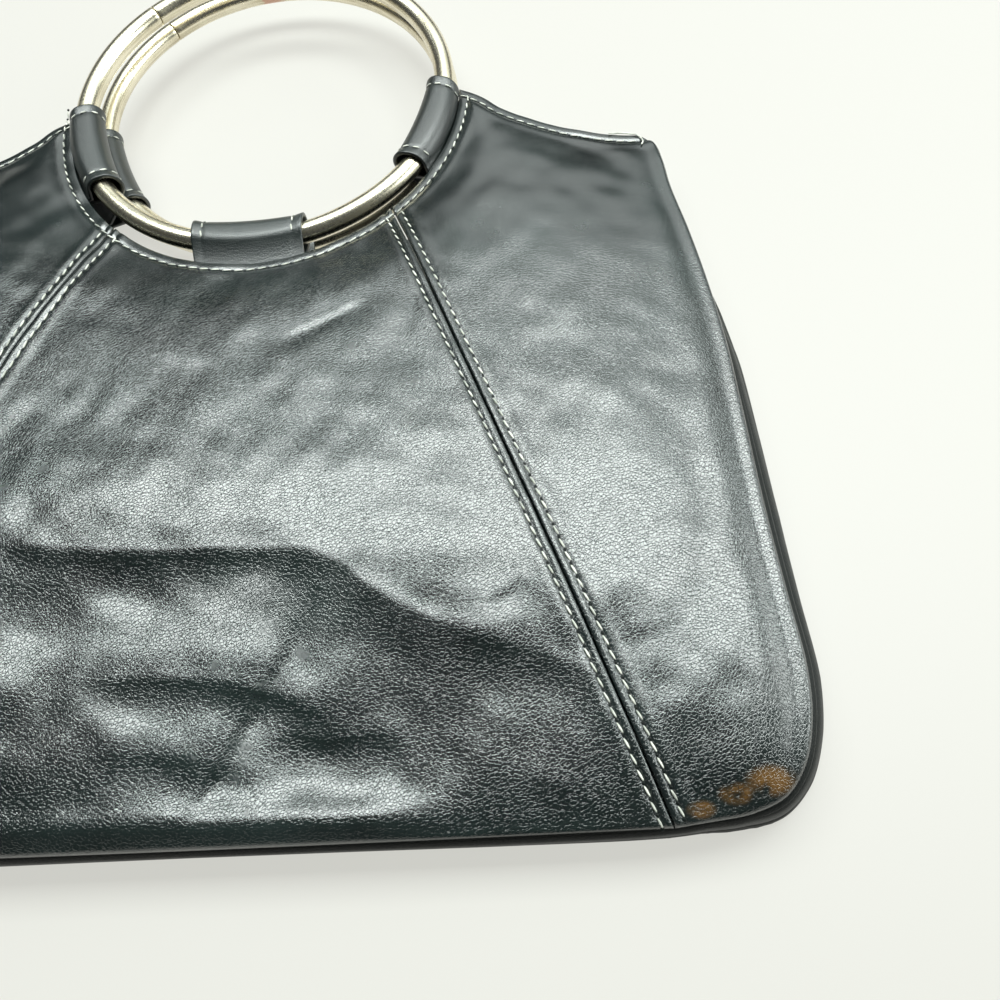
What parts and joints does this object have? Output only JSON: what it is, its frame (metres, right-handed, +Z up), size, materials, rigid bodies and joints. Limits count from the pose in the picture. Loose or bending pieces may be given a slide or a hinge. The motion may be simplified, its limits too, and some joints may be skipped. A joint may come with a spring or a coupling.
{
  "type": "ring handle bag",
  "caption": "Soft leather hand bag lying on its back, with a round metal ring handle on each face, held by leather loops in a round hand opening.",
  "frame": {"origin": "on the surface that the bag lies on, under the middle of the bag's box", "axes": "+Z up, out of the front face; +Y from the bottom edge towards the rings; +X to the right seen from the front"},
  "size_m": [0.2948, 0.3038, 0.0279],
  "materials": {
    "leather": "black leather with a green cast, glossy, fine pebbled grain",
    "ring_metal": "polished pale champagne plate, worn and finely scratched",
    "thread": "pale grey topstitching thread"
  },
  "bodies": {
    "bag": {"front_center_panel": "leather", "front_side_panel_right": "leather", "front_side_panel_left": "leather", "back_center_panel": "leather", "back_side_panel_right": "leather", "back_side_panel_left": "leather", "gusset": "leather", "front_tab_center": "leather", "front_tab_right": "leather", "front_tab_left": "leather", "back_tab_center": "leather", "back_tab_right": "leather", "back_tab_left": "leather"},
    "front_handle": {"front_ring": "ring_metal"},
    "back_handle": {"back_ring": "ring_metal"}
  },
  "joints": [
    {"name": "front_ring_turn", "type": "hinge", "parent": "bag", "child": "front_handle", "pos_m": [0, 0.08021, 0.0206], "axis": [0, -0.0506, 0.9987], "continuous": true},
    {"name": "back_ring_turn", "type": "hinge", "parent": "bag", "child": "back_handle", "pos_m": [0, 0.08871, 0.00835], "axis": [0, -0.0558, 0.9984], "continuous": true}
  ]
}
